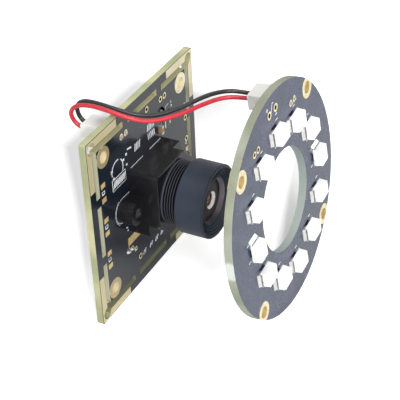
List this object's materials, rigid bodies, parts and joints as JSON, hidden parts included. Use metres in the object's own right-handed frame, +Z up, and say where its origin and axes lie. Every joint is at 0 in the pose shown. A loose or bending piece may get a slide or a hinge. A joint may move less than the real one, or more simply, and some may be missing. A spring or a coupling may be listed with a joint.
{
  "type": "camera module",
  "caption": "Board camera with a screw-in lens in a square holder, wired to a ring of surface lamps that stands in front of the lens.",
  "frame": {"origin": "middle of the camera board's four holes, on its front face", "axes": "-Y the way the lens looks, square to the camera board; +Z up the standing board; +X along its lower edge, to the right for someone who looks at the lens"},
  "size_m": [0.043, 0.0397, 0.043],
  "materials": {
    "board_mask": "glossy solder mask over glass-fibre laminate, pale green-yellow at the cut edges",
    "gold_plate": "thin gold plating",
    "holder_black": "moulded, satin to glossy",
    "barrel_black": "black anodised, finely turned",
    "retainer_black": "black anodised",
    "optical_glass": "polished and coated",
    "filter_glass": "coated, reddish by reflection",
    "spacer_black": "matt black",
    "screw_steel": "plated",
    "chip_black": "moulded, fine matt",
    "sensor_frame": "dark ceramic-like package",
    "lead_tin": "tin plated",
    "capacitor_tan": "fired ceramic",
    "resistor_black": "glazed",
    "ferrite_grey": "ferrite",
    "crystal_metal": "metal lid",
    "connector_white": "moulded nylon",
    "lamp_white": "white moulded reflector package",
    "lamp_gel": "pale yellow filling",
    "wire_red": "smooth insulation",
    "wire_black": "smooth insulation"
  },
  "bodies": {
    "root": {"black_wire": "wire_black", "board_contact_pads": "gold_plate", "board_edge_lands": "gold_plate", "board_hole_plating": "gold_plate", "board_pin_rings": "gold_plate", "camera_board": "board_mask", "camera_light_header": "connector_white", "camera_light_pins": "lead_tin", "camera_light_plug": "connector_white", "camera_plug_contacts": "lead_tin", "chip_capacitors": "capacitor_tan", "chip_end_caps": "lead_tin", "chip_resistors": "resistor_black", "crystal": "crystal_metal", "data_header": "connector_white", "data_header_pins": "lead_tin", "flash_memory": "chip_black", "flash_memory_leads": "lead_tin", "holder_screws": "screw_steel", "image_processor": "chip_black", "image_sensor": "sensor_frame", "infrared_filter": "filter_glass", "lamp_01": "lamp_white", "lamp_02": "lamp_white", "lamp_03": "lamp_white", "lamp_04": "lamp_white", "lamp_05": "lamp_white", "lamp_06": "lamp_white", "lamp_07": "lamp_white", "lamp_08": "lamp_white", "lamp_09": "lamp_white", "lamp_10": "lamp_white", "lamp_11": "lamp_white", "lamp_12": "lamp_white", "lamp_filling": "lamp_gel", "lamp_leads": "lead_tin", "lens_holder": "holder_black", "power_inductors": "ferrite_grey", "red_wire": "wire_red", "regulator_leads": "lead_tin", "ring_board": "board_mask", "ring_feed_rings": "gold_plate", "ring_hole_plating": "gold_plate", "ring_light_header": "connector_white", "ring_light_pins": "lead_tin", "ring_light_plug": "connector_white", "ring_pin_rings": "gold_plate", "ring_plug_contacts": "lead_tin", "ring_resistor_ends": "lead_tin", "ring_resistors": "resistor_black", "sensor_cover_glass": "optical_glass", "voltage_regulator": "chip_black"},
    "lens": {"lens_barrel": "barrel_black", "front_retainer": "retainer_black", "front_element": "optical_glass", "lens_spacer_ring": "spacer_black", "middle_element": "optical_glass", "aperture_stop": "spacer_black", "rear_element": "optical_glass", "rear_retainer": "retainer_black"}
  },
  "joints": [
    {"name": "focus", "type": "hinge", "parent": "root", "child": "lens", "pos_m": [0, 0, 0], "axis": [0, -1, 0], "range_deg": [-180, 180]}
  ]
}
